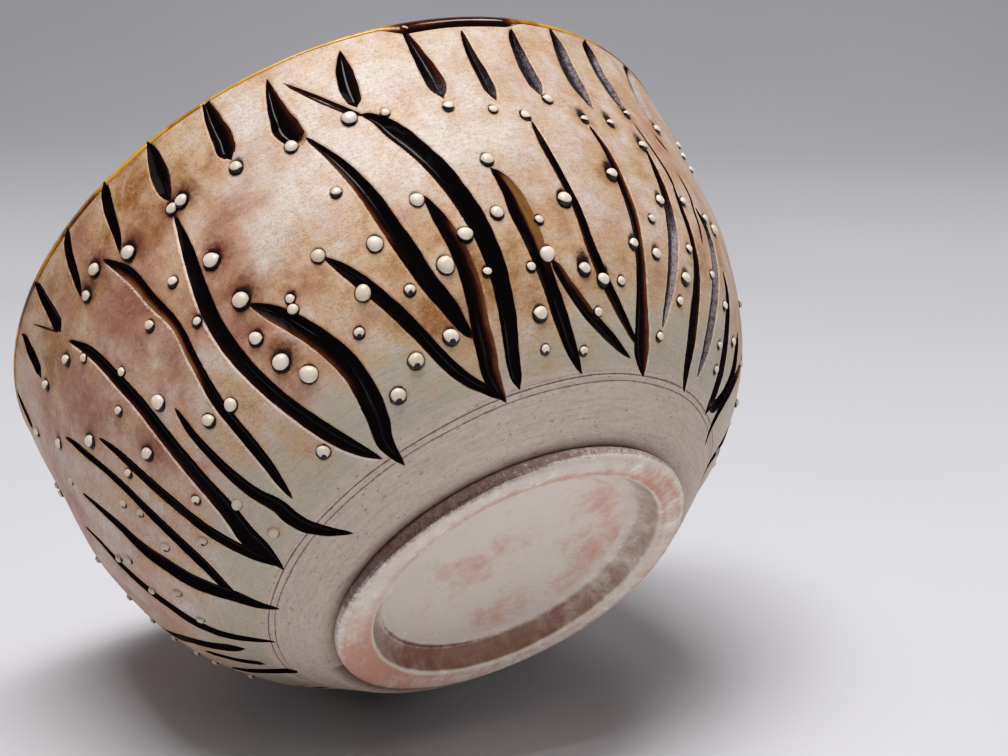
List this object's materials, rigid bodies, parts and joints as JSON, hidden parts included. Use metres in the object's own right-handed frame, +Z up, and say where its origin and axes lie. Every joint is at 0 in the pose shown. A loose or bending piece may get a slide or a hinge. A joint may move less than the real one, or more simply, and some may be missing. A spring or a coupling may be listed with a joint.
{
  "type": "carved ceramic bowl",
  "caption": "Round stoneware bowl on a turned foot ring, its outside carved with leaf-shaped strokes filled with dark glaze and set with raised slip dots, for serving food.",
  "frame": {"origin": "centre of the foot ring's contact face, which is the bottom centre of the bounding box", "axes": "+Z up along the bowl's turning axis, from foot to lip; -Y towards the side that the picture shows"},
  "size_m": [0.17, 0.17, 0.0938],
  "materials": {
    "clay_wall": "satin",
    "bare_clay": "matte",
    "dark_glaze": "gloss",
    "honey_glaze": "gloss",
    "liner_glaze": "gloss"
  },
  "bodies": {
    "root": {"bowl_wall": "clay_wall", "foot_ring": "bare_clay", "rim_glaze": "honey_glaze", "liner_glaze": "liner_glaze", "leaf_glaze_01": "dark_glaze", "leaf_glaze_02": "dark_glaze", "leaf_glaze_03": "dark_glaze", "leaf_glaze_04": "dark_glaze", "leaf_glaze_05": "dark_glaze", "leaf_glaze_06": "dark_glaze", "leaf_glaze_07": "dark_glaze", "leaf_glaze_08": "dark_glaze", "leaf_glaze_09": "dark_glaze", "leaf_glaze_10": "dark_glaze", "leaf_glaze_11": "dark_glaze", "leaf_glaze_12": "dark_glaze", "leaf_glaze_13": "dark_glaze", "leaf_glaze_14": "dark_glaze", "leaf_glaze_15": "dark_glaze", "leaf_glaze_16": "dark_glaze", "leaf_glaze_17": "dark_glaze", "leaf_glaze_18": "dark_glaze", "leaf_glaze_19": "dark_glaze", "leaf_glaze_20": "dark_glaze", "leaf_glaze_21": "dark_glaze", "leaf_glaze_22": "dark_glaze", "leaf_glaze_23": "dark_glaze", "leaf_glaze_24": "dark_glaze", "leaf_glaze_25": "dark_glaze", "leaf_glaze_26": "dark_glaze", "leaf_glaze_27": "dark_glaze", "leaf_glaze_28": "dark_glaze", "leaf_glaze_29": "dark_glaze", "leaf_glaze_30": "dark_glaze", "leaf_glaze_31": "dark_glaze", "leaf_glaze_32": "dark_glaze", "leaf_glaze_33": "dark_glaze", "leaf_glaze_34": "dark_glaze"}
  },
  "joints": []
}
